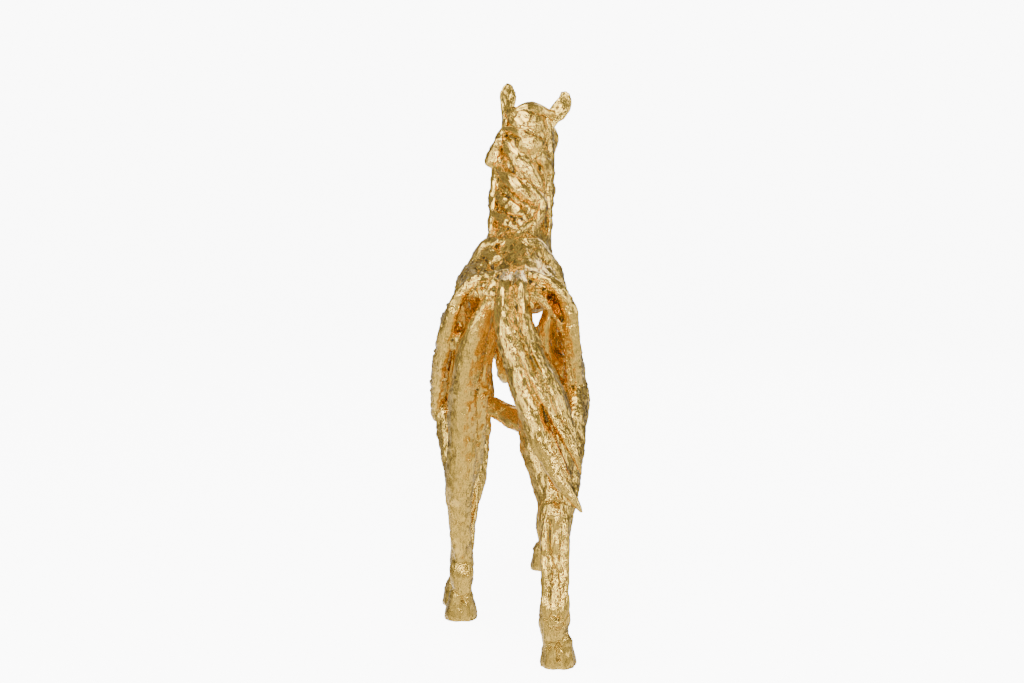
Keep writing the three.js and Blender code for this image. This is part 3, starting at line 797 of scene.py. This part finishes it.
# %% Mane
CREST = np.array([  # z, x, y, half width and depth of the neck behind its middle line
    [212, 3, 190, 27, 40],
    [235, 4, 208, 23, 33],
    [260, 7, 227, 19.5, 25],
    [286, 8.5, 240, 17.5, 20],
    [311, 11, 246, 16, 16],
    [330, 13, 250, 15, 14],
], float)
LOCKS = [  # x and z at the root, the middle and the tip, then half width, half thickness and bark
    [(0, 319), (10, 311), (21, 299), 8.6, 4, 0.2],
    [(-4, 306), (8, 302), (21, 291), 3.4, 6, 0.1],
    [(-3, 299), (6, 287), (19, 268), 7.6, 4.2, 0.2],
    [(-10, 282), (4, 267), (22, 251), 5.2, 6, 0.1],
    [(9, 270), (20, 256), (14, 241), 4.2, 6.5, 0.1],
    [(-10, 263), (0, 254), (11, 245), 4, 4.5, 0.9],
    [(-12, 250), (-2, 243), (8, 235), 4, 4.5, 0.9],
    [(-3, 229), (6, 238), (14, 246), 2.8, 4.5, 0.4],
    [(24, 312), (25, 285), (25, 238), 3.4, 5, 0.6],
    [(-4, 312), (-10, 282), (-15, 232), 3.4, 4, 0.5],
]


def behind_neck(x, z):
    """The point of the neck's back at x and z."""
    middle, y, half, deep = (np.interp(z, CREST[:, 0], CREST[:, k]) for k in (1, 2, 3, 4))
    across = np.clip((x - middle) / half, -0.97, 0.97)
    return [x, y + deep * (1 - np.sqrt(1 - across**2)), z]


def lock(points, half, deep, bark, face=(0.1, -1, 0.35)):
    """A lock of hair through three points, widest near its middle."""
    rows = curve([[*p, 0, 0] for p in points], [3, 3])
    for row, share in zip(rows, (0.5, 0.85, 1, 1, 0.9, 0.7, 0.3)):
        row[3:] = half * share, deep * (0.4 + 0.6 * share)
    strand(rows, np.array(face, float), groove=1.3, bark=bark)


for *places, half, deep, bark in LOCKS:
    lock([behind_neck(*place) for place in places], half, deep, bark)

# The tuft that stands out on the left, and the forelocks.
strand([
    [-5, 257, 309, 1.6, 3],
    [-7.5, 255, 302, 3, 4],
    [-11, 253, 292, 5.2, 5.5],
    [-12.6, 252, 285, 6.4, 4.5],
], groove=1.2, bark=0.3)
lock([(0, 250, 315), (12, 253, 321), (27, 258, 317)], 5, 4.5, 0.1, (0, 0, 1))
lock([on_head(-0.02, 3, 3), on_head(0.14, 5, 1), on_head(0.3, -2, 1.5)], 4.5, 3, 0.2, -DOWN)
lock([on_head(0, -4, 5), on_head(0.12, -6, 2), on_head(0.24, -7, 2.5)], 3.5, 3, 0.2, -DOWN)
print("with the mane", strand_count)

# %% [markdown]
# The tail leaves the croup as two thick hanks side by side, swings to the right and ends in a point
# against the hock. Thinner locks lie over the hanks. Deep grooves stand for the hair: single hairs
# would be finer than the casting has them.

# %% Tail
OUT = np.array([0, -1, 0.25])
strand([
    [-3, 64, 216, 4, 4],
    [-4, 43, 210, 5, 7],
    [-5, 36, 201, 5.2, 8],
    [-4, 28, 190, 5.6, 8],
    [0, 24, 178, 6.6, 8],
    [4, 20, 166, 7.4, 9],
    [8, 15, 153, 7.6, 9],
    [13, 9, 139, 7.4, 8],
    [18, 4, 126, 6.6, 8],
    [24, 0, 113, 5, 6.5],
    [30, -4, 103, 3.6, 5],
    [38, -8, 91.5, 1, 1.4],
], OUT, groove=2.4, bark=0.2)
strand([
    [4, 64, 216, 4, 4],
    [5, 43, 210, 4.4, 7],
    [6, 37, 201, 4.4, 8],
    [8, 31, 190, 4.6, 8],
    [12, 25, 177, 5.4, 8],
    [17, 20, 165, 5.6, 8],
    [22, 15, 154, 5.8, 8],
    [27, 11, 143, 4.8, 7],
    [32, 8, 133, 3.4, 4],
    [36, 5, 125, 1, 1.6],
], OUT, groove=2.2, bark=0.15)
lock([(0, 25, 190), (9, 14, 168), (20, 4, 146)], 3, 5, 0.3, OUT)
lock([(14, 15, 165), (22, 5, 144), (33, 0, 122)], 2.8, 4.5, 0.3, OUT)
lock([(16, 9, 140), (23, 1, 124), (31, -1, 109)], 3.4, 5, 0.3, OUT)
lock([(26, 6, 140), (33, 2, 126), (38, 2, 112)], 2.4, 4, 0.4, OUT)
strand([
    [1, 52, 211, 3, 5],
    [0.5, 40, 203, 3.4, 7],
    [2, 31, 190, 4, 7],
    [7, 23, 172, 4, 7],
    [11, 18, 160, 2, 4],
], OUT, bark=0.1)
print("strands", strand_count, "points", pool["count"])

# %% [markdown]
# The neck is one strand from the shoulders to the poll, with leaf-shaped windows through it from side to
# side and one from front to back. Booleans cut them before the forms are melted together, so their edges
# come out as soft as the rest.

# %% Neck
def new_mesh(name, points, faces):
    mesh = bpy.data.meshes.new(name)
    mesh.from_pydata((points * MM).tolist(), [], faces)
    mesh.validate()
    ob = bpy.data.objects.new(name, mesh)
    bpy.context.scene.collection.objects.link(ob)
    return ob


# %% [markdown]
# The neck's strand is taken out of the pool, cut, and put back. The cut mesh has new points, and each
# takes its place in the grain from the nearest point of the uncut neck.

# %% The neck's windows
def applied(ob):
    """The object's mesh with its modifiers applied. The object itself is dropped."""
    graph = bpy.context.evaluated_depsgraph_get()
    mesh = bpy.data.meshes.new_from_object(ob.evaluated_get(graph))
    old = ob.data
    bpy.data.objects.remove(ob)
    bpy.data.meshes.remove(old)
    return mesh


first, first_face = pool["count"], len(pool["faces"])
strand([
    [3, 226, 196, 27, 40],
    [4, 238, 222, 23, 33],
    [6.5, 250, 250, 20, 25],
    [8, 258, 278, 18, 20],
    [10, 264, 304, 16, 16],
], dome=0.05)
neck_points, neck_grain = pool["points"].pop(), pool["grain"].pop()
neck = new_mesh("neck", neck_points, [tuple(i - first for i in f) for f in pool["faces"][first_face:]])
del pool["faces"][first_face:]
pool["count"] = first
WINDOWS = [  # middle, which way it runs, length, width
    [(5, 252, 228), SIDEWAYS, 46, 13],
    [(5, 233, 250), SIDEWAYS, 36, 10],
    [(8, 258, 266), SIDEWAYS, 34, 9],
    [(17, 236, 184), FORWARD, 24, 10],
]
for middle, way, length, width in WINDOWS:
    t = np.linspace(0, 1, 33)
    half = 0.52 * width * (1 - (2 * t - 1) ** 2) ** 0.8
    u = (t - 0.5) * length
    outline = np.vstack([np.stack([u, half], 1), np.stack([u[-2:0:-1], -half[-2:0:-1]], 1)])
    lean = math.radians(66 if way is SIDEWAYS else 90)
    lengthwise = math.sin(lean) * UP + math.cos(lean) * FORWARD
    crosswise = np.cross(way, lengthwise)
    flat = np.array(middle) + outline[:, :1] * lengthwise + outline[:, 1:] * crosswise
    count = len(outline)
    points = np.vstack([flat - 45 * way, flat + 45 * way])
    sides = [(i, (i + 1) % count, count + (i + 1) % count, count + i) for i in range(count)]
    ends = [tuple(range(count))[::-1], tuple(range(count, 2 * count))]
    window = new_mesh("window", points, sides + ends)
    cut = neck.modifiers.new("window", "BOOLEAN")
    cut.object, cut.operation, cut.solver = window, "DIFFERENCE", "MANIFOLD"
neck_mesh = applied(neck)
for ob in [o for o in bpy.data.objects if o.name.startswith("window")]:
    bpy.data.objects.remove(ob)
print("neck faces", len(neck_mesh.polygons))


# %% Back into the pool
def corners(mesh):
    points = np.empty(len(mesh.vertices) * 3)
    mesh.vertices.foreach_get("co", points)
    return points.reshape(-1, 3) / MM


def nearest(tree_points, points):
    """For each point, the number of the nearest tree point."""
    tree = KDTree(len(tree_points))
    for i, p in enumerate(tree_points.tolist()):
        tree.insert(p, i)
    tree.balance()
    return np.array([tree.find(p)[1] for p in points.tolist()])


cut_points = corners(neck_mesh)
cut_faces = [tuple(p.vertices) for p in neck_mesh.polygons]
add_form(cut_points, cut_faces, neck_grain[nearest(neck_points, cut_points)])
print("forms have", pool["count"], "points")

# %% [markdown]
# The casting is one body, so all forms melt into one skin. Joining some eighty forms by booleans would be
# slow and could fail. A voxel remesh always gives a closed skin and rounds the seams a little, as the
# casting's are. Each point of the skin then looks up its place in the grain on the form it lies on.

# %% One skin
forms = np.vstack(pool["points"])
grain = np.vstack(pool["grain"])
melt = new_mesh("melt", forms, pool["faces"])
remesh = melt.modifiers.new("melt", "REMESH")
remesh.mode, remesh.voxel_size, remesh.use_smooth_shade = "VOXEL", VOXEL * MM, True
dense = applied(melt)
skin_points = corners(dense)
print("dense skin", len(dense.vertices), "points")

tree = BVHTree.FromPolygons(forms.tolist(), pool["faces"])
corner_lists = pool["faces"]
skin_grain = np.empty((len(skin_points), 4))  # the place in the grain, and how much is bark
for i, p in enumerate(skin_points.tolist()):
    hit, _, face, _ = tree.find_nearest(p)
    ring = list(corner_lists[face])
    weight = 1 / (np.linalg.norm(forms[ring] - np.array(hit), axis=1) + 0.05) ** 2
    skin_grain[i] = weight @ grain[ring] / weight.sum()
print("grain looked up")

# %% [markdown]
# The finest relief moves the points of the skin in and out: bark crumpled like foil, thin creases and
# flaked edges along the grain, broad folds and small pits. A displacement modifier reads one texture,
# and here each kind of mark needs its own share of the bark, so the heights are added up with numpy.

# %% Fine relief
edges = np.empty(len(dense.edges) * 2, int)
dense.edges.foreach_get("vertices", edges)
edge_a, edge_b = edges.reshape(-1, 2).T
degree = np.bincount(edges, minlength=len(skin_points))[:, None]


def averaged(values, times=1):
    """Each point's value replaced by the mean of its neighbours' values."""
    for _ in range(times):
        total = [
            np.bincount(edge_a, column[edge_b], len(values))
            + np.bincount(edge_b, column[edge_a], len(values))
            for column in values.T
        ]
        values = np.stack(total, axis=1) / degree
    return values


def normals(mesh):
    out = np.empty(len(mesh.vertices) * 3)
    mesh.vertices.foreach_get("normal", out)
    return out.reshape(-1, 3)


# %% Kinds of marks
facing = unit(averaged(normals(dense), 2))
bark = skin_grain[:, 3]
along_grain = skin_grain[:, :3]
long_grain = along_grain * np.array([1, 1, 0.45])
skin_points = averaged(skin_points)

# Each kind of mark is a noise read at its own size in millimetres.
crumple = ridged(skin_points / 5.2, 50, 3) - 0.5
crease = ridged(long_grain / 2.6, 51, 2) - 0.5
flake = noise(along_grain / np.array([3.6, 3.6, 2.4]), 52)
pit = np.clip(noise(skin_points / 1.8, 53) - 0.4, 0, None)
fold = ridged(skin_points * np.array([1, 1, 0.6]) / 8.5, 56, 2)

# Bark has most of every mark, and the smooth bands keep the creases, flakes and pits.
relief = bark * (1.6 * crumple - 0.8 * pit) + (0.6 + 0.2 * bark) * crease
relief += 0.35 * np.sign(flake) * np.abs(flake) ** 0.6 - 0.4 * pit
relief += (0.28 + 0.4 * bark) * noise(skin_points / 5.5, 54) + 0.18 * ridged(skin_points / 2.6, 55, 1)
relief += 0.55 * np.clip(4 * bark, 0.3, 1) * fold
print("relief spread", np.percentile(relief, [5, 25, 50, 75, 95]).round(2))

# %% Dents and hollows
for line, radius, depth in dents:
    near = np.full(len(skin_points), np.inf)
    for start, end in zip(line[:-1], line[1:]):
        reach = end - start
        share = np.clip((skin_points - start) @ reach / max(reach @ reach, 1e-9), 0, 1)
        near = np.minimum(near, np.linalg.norm(skin_points - start - share[:, None] * reach, axis=1))
    relief -= depth * np.exp(-((near / radius) ** 2))
skin_points = skin_points + facing * relief[:, None]

# The material darkens these hollow points with painted shade.
# A point is hollow where it lies below the skin's own average, over a small and a broad reach.
blurred = averaged(skin_points, 6)
broad = averaged(blurred, 30)
hollow = np.einsum("ij,ij->i", blurred - skin_points, facing) / 0.35
hollow += np.einsum("ij,ij->i", broad - blurred, facing) / 1.1
print("hollow spread", np.percentile(hollow, [5, 25, 50, 75, 95]).round(2))

# Stand the soles flat on the ground.
skin_points[:, 2] = np.where(skin_points[:, 2] < 0.8, 0, skin_points[:, 2])

# %% [markdown]
# The dense skin has far more faces than it needs. Thinning it keeps small faces where the relief is fine
# and lets flat places have large ones. The grain, the bark and the hollows are handed on to the points
# that are left, for the material to read.

# %% The horse
dense.vertices.foreach_set("co", ((skin_points - MIDDLE) * MM).ravel())
dense.update()
horse = bpy.data.objects.new("gilt_horse", dense)
bpy.context.scene.collection.objects.link(horse)
thin = horse.modifiers.new("thin", "DECIMATE")
thin.ratio = min(1, FACES / (2 * len(dense.polygons)))
mesh = applied(horse)
final_points = corners(mesh) + MIDDLE
match = nearest(skin_points, final_points)
grain_layer = mesh.attributes.new("grain", "FLOAT_VECTOR", "POINT")
grain_layer.data.foreach_set("vector", along_grain[match].ravel())
for name, values in (("bark", bark), ("hollow", hollow)):
    layer = mesh.attributes.new(name, "FLOAT", "POINT")
    layer.data.foreach_set("value", values[match])
mesh.polygons.foreach_set("use_smooth", np.ones(len(mesh.polygons), bool))
mesh.name = "gilt_horse"
horse = bpy.data.objects.new("gilt_horse", mesh)
bpy.context.scene.collection.objects.link(horse)
print("triangles", sum(len(p.vertices) - 2 for p in mesh.polygons))

# %% [markdown]
# The real figure is gilded: a warm gold leaf with fine scratches along the grain. Its hollows get painted
# shade, a brown that darkens them and fades out towards the high places. A plain yellow metal would look
# like plastic, so the leaf's tone, its roughness and its smallest bumps all vary, each from its own noise.

# %% Nodes and links
def shader(material):
    """Short ways to add nodes to a material and to wire them."""
    tree = material.node_tree
    tree.nodes.clear()

    def node(kind, **settings):
        made = tree.nodes.new(kind)
        for key, value in settings.items():
            if key in made.inputs:
                made.inputs[key].default_value = value
            else:
                setattr(made, key, value)
        return made

    return node, tree.links.new


def ramp(node, stops):
    made = node("ShaderNodeValToRGB")
    elements = made.color_ramp.elements
    while len(elements) < len(stops):
        elements.new(0.5)
    for element, (place, colour) in zip(elements, stops):
        element.position, element.color = place, (*colour, 1)
    return made


# %% Gold leaf: the patterns
gold = bpy.data.materials.new("gold_leaf")
gold.use_nodes = True
node, link = shader(gold)
grain_at = node("ShaderNodeAttribute", attribute_name="grain")
hollow_at = node("ShaderNodeAttribute", attribute_name="hollow")
place = node("ShaderNodeTexCoord")
bark_at = node("ShaderNodeAttribute", attribute_name="bark")
streaks = node("ShaderNodeTexNoise", Scale=1.3, Detail=6.0, Roughness=0.65)
link(grain_at.outputs["Vector"], streaks.inputs["Vector"])
folds = node("ShaderNodeTexNoise", Scale=0.45, Detail=3.0, Roughness=0.6)
link(grain_at.outputs["Vector"], folds.inputs["Vector"])
patches = node("ShaderNodeTexNoise", Scale=90.0, Detail=4.0, Roughness=0.6)
link(place.outputs["Object"], patches.inputs["Vector"])
bumps = node("ShaderNodeTexNoise", Scale=240.0, Detail=4.0, Roughness=0.65)
link(place.outputs["Object"], bumps.inputs["Vector"])
facets = node("ShaderNodeTexVoronoi", Scale=260.0)
link(place.outputs["Object"], facets.inputs["Vector"])

# %% [markdown]
# The painted shade gathers where the surface is hollow, unevenly, so the patches' noise is added to the
# hollow before it is turned into a share. Where the painted shade lies the metal is darker and rougher.

# %% Gold leaf: colour and roughness
uneven = node("ShaderNodeMath", operation="MULTIPLY_ADD")
uneven.inputs[1].default_value = 1.1
link(patches.outputs["Fac"], uneven.inputs[0])
link(hollow_at.outputs["Fac"], uneven.inputs[2])
# The share of painted shade: brown mixed into the leaf where the skin is hollow, so the hollows look
# shaded.
painted_shade = node("ShaderNodeMapRange", interpolation_type="SMOOTHSTEP")
painted_shade.inputs["From Min"].default_value = 1.1
painted_shade.inputs["From Max"].default_value = 2.8
link(uneven.outputs[0], painted_shade.inputs["Value"])
leaf = ramp(node, [(0.3, (0.72, 0.44, 0.08)), (0.5, (0.82, 0.53, 0.1)), (0.72, (0.92, 0.64, 0.14))])
link(streaks.outputs["Fac"], leaf.inputs["Fac"])
colour = node("ShaderNodeMix", data_type="RGBA")
link(painted_shade.outputs["Result"], colour.inputs["Factor"])
link(leaf.outputs["Color"], colour.inputs["A"])
# The brown of the painted shade in the hollows.
colour.inputs["B"].default_value = (0.12, 0.085, 0.035, 1)

rough = node("ShaderNodeMapRange")
rough.inputs["From Min"].default_value, rough.inputs["From Max"].default_value = 0.3, 0.75
rough.inputs["To Min"].default_value, rough.inputs["To Max"].default_value = 0.13, 0.24
link(patches.outputs["Fac"], rough.inputs["Value"])
rougher = node("ShaderNodeMath", operation="MULTIPLY_ADD")
rougher.inputs[1].default_value = 0.25
link(painted_shade.outputs["Result"], rougher.inputs[0])
link(rough.outputs["Result"], rougher.inputs[2])

# %% [markdown]
# Marks finer than the mesh are bumps, laid one over the other from coarse to fine: folds along the
# grain, bumps, facets where there is bark, and scratches.

# %% Gold leaf: bumps
def bump(height, depth, strength=1.0, over=None):
    made = node("ShaderNodeBump", Distance=depth, Strength=strength)
    link(height, made.inputs["Height"])
    if over:
        link(over.outputs["Normal"], made.inputs["Normal"])
    return made


folded = bump(folds.outputs["Fac"], 0.0007, 0.9)
bumped = bump(bumps.outputs["Fac"], 0.0003, 0.2, folded)
crushed = bump(facets.outputs["Distance"], 0.0003, over=bumped)
link(bark_at.outputs["Fac"], crushed.inputs["Strength"])
scratched = bump(streaks.outputs["Fac"], 0.00012, 0.2, crushed)

surface = node("ShaderNodeBsdfPrincipled", Metallic=1.0)
link(colour.outputs["Result"], surface.inputs["Base Color"])
link(rougher.outputs[0], surface.inputs["Roughness"])
link(scratched.outputs["Normal"], surface.inputs["Normal"])
output = node("ShaderNodeOutputMaterial")
link(surface.outputs["BSDF"], output.inputs["Surface"])
mesh.materials.clear()
mesh.materials.append(gold)
print("gold leaf nodes", len(gold.node_tree.nodes))

# %% [markdown]
# The finished figure rides on the part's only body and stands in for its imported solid.

# %% In the frame
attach(horse, "root")
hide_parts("horse")

# %% [markdown]
# The photograph is a product shot on white paper. A floor alone would end in a dark horizon, so the paper
# is a wide dish that bends up into a wall. It glows enough to come out white, and neither lights the
# gold nor shows in it: what the gold mirrors is set by the lamps and the room below.

# %% Paper
GLOW = 9.0
SWEEP_NEAR, SWEEP_BEND = 2.4, 1.2  # metres: where the paper starts to bend, and the bend's radius


def add_object(name, mesh):
    ob = bpy.data.objects.new(name, mesh)
    bpy.context.scene.collection.objects.link(ob)
    return ob


def paper(name, brightness):
    white = bpy.data.materials.new(name)
    white.use_nodes = True
    node, link = shader(white)
    surface = node("ShaderNodeBsdfPrincipled", **{
        "Base Color": (0.92, 0.92, 0.92, 1), "Roughness": 0.9, "Specular IOR Level": 0.1,
        "Emission Color": (1, 1, 1, 1), "Emission Strength": brightness,
    })
    link(surface.outputs["BSDF"], node("ShaderNodeOutputMaterial").inputs["Surface"])
    return white


def sweep():
    """White paper: flat under the horse, bent up into a wall all round it."""
    bend = np.radians(np.linspace(0, 90, 13))
    wall = SWEEP_NEAR + SWEEP_BEND
    radius = np.concatenate([[0.4, 1.2], SWEEP_NEAR + SWEEP_BEND * np.sin(bend), [wall]])
    height = np.concatenate([[0, 0], SWEEP_BEND * (1 - np.cos(bend)), [4]]) - 0.0005
    turn = np.arange(64) / 64 * 2 * math.pi
    points = [(r * math.cos(a), r * math.sin(a), z) for r, z in zip(radius, height) for a in turn]
    faces = [
        (r * 64 + i, (r + 1) * 64 + i, (r + 1) * 64 + (i + 1) % 64, r * 64 + (i + 1) % 64)
        for r in range(len(radius) - 1) for i in range(64)
    ] + [tuple(range(64))]
    mesh = bpy.data.meshes.new("sweep")
    mesh.from_pydata(points, [], faces)
    mesh.polygons.foreach_set("use_smooth", np.ones(len(faces), bool))
    mesh.materials.append(paper("white_paper", GLOW))
    ob = add_object("sweep", mesh)
    ob.visible_glossy = ob.visible_diffuse = ob.visible_shadow = False


sweep()


# %% [markdown]
# Softboxes above, at both sides, behind the camera and beyond the horse give the gold its broad lights.
# Four small lamps behind the camera give the sparks on the crumpled bark.

# %% Lights
def softbox(name, location, size, energy, aim=(0, 0, 0.18)):
    light = bpy.data.lights.new(name, "AREA")
    light.shape, light.size, light.size_y, light.energy = "RECTANGLE", *size, energy
    ob = add_object(name, light)
    ob.location = location
    ob.rotation_euler = (Vector(aim) - Vector(location)).to_track_quat("-Z", "Y").to_euler()


softbox("top", (-0.2, -0.4, 1.4), (0.8, 0.6), 14)
softbox("left", (-1.2, -0.8, 0.6), (0.4, 1.2), 9)
softbox("right", (1.3, -0.3, 0.6), (0.35, 1.2), 7)
softbox("front", (0.3, -1.9, 0.9), (0.6, 0.5), 7)
for across, height, power in ((-0.9, 0.5, 7), (-0.25, 0.95, 7), (1.0, 0.2, 5), (0.35, 0.1, 5)):
    softbox("spark", (across, -1.9, height), (0.2, 0.2), power)
softbox("far", (0.5, 1.4, 1.0), (0.8, 0.8), 8)
print("lamps", len(bpy.data.lights))

# %% [markdown]
# Metal shows what is round it. The room is dim above and bright below, like the paper, and uneven.
# Without that, every face turned to the camera would mirror the same flat tone.

# %% The room
world = bpy.data.worlds.new("studio")
world.use_nodes = True
node, link = shader(world)
direction = node("ShaderNodeTexCoord")
room = node("ShaderNodeTexNoise", Scale=4.0, Detail=1.5, Roughness=0.5)
link(direction.outputs["Generated"], room.inputs["Vector"])
spots = node("ShaderNodeMapRange", interpolation_type="SMOOTHSTEP")
spots.inputs["From Min"].default_value, spots.inputs["From Max"].default_value = 0.42, 0.6
spots.inputs["To Min"].default_value, spots.inputs["To Max"].default_value = 0.25, 1.7
link(room.outputs["Fac"], spots.inputs["Value"])
height = node("ShaderNodeSeparateXYZ")
link(direction.outputs["Generated"], height.inputs["Vector"])
level = node("ShaderNodeMapRange", interpolation_type="SMOOTHSTEP")
level.inputs["From Min"].default_value, level.inputs["From Max"].default_value = -0.6, 0.05
level.inputs["To Min"].default_value, level.inputs["To Max"].default_value = 1.3, 0.42
link(height.outputs["Z"], level.inputs["Value"])
strength = node("ShaderNodeMath", operation="MULTIPLY")
link(spots.outputs["Result"], strength.inputs[0])
link(level.outputs["Result"], strength.inputs[1])
background = node("ShaderNodeBackground", Color=(1, 0.97, 0.93, 1))
link(strength.outputs[0], background.inputs["Strength"])
link(background.outputs["Background"], node("ShaderNodeOutputWorld").inputs["Surface"])
bpy.context.scene.world = world

# %% [markdown]
# The camera stands one metre behind the tail, a little above the back, and looks 5 degrees down. Its
# focal length is the photograph's, so the perspective of the hooves comes out the same.

# %% Camera
PHOTO_WIDTH, FOCAL_LENGTH = 1024, 1830  # pixels
SENSOR = 36
EYE = Vector((0, -1000, 272.3))
LOOKS_DOWN = 5.03  # degrees

camera = bpy.data.objects.new("camera", bpy.data.cameras.new("camera"))
camera.data.sensor_width, camera.data.lens = SENSOR, SENSOR * FOCAL_LENGTH / PHOTO_WIDTH
camera.location = EYE * MM - Vector(MIDDLE * MM)
camera.rotation_euler = (math.radians(90 - LOOKS_DOWN), 0, 0)
bpy.context.scene.collection.objects.link(camera)
bpy.context.scene.camera = camera
print("camera lens", round(camera.data.lens, 2), "mm")

# %% [markdown]
# Last, the scene is brought up to date.

# %% Last update
bpy.context.view_layer.update()
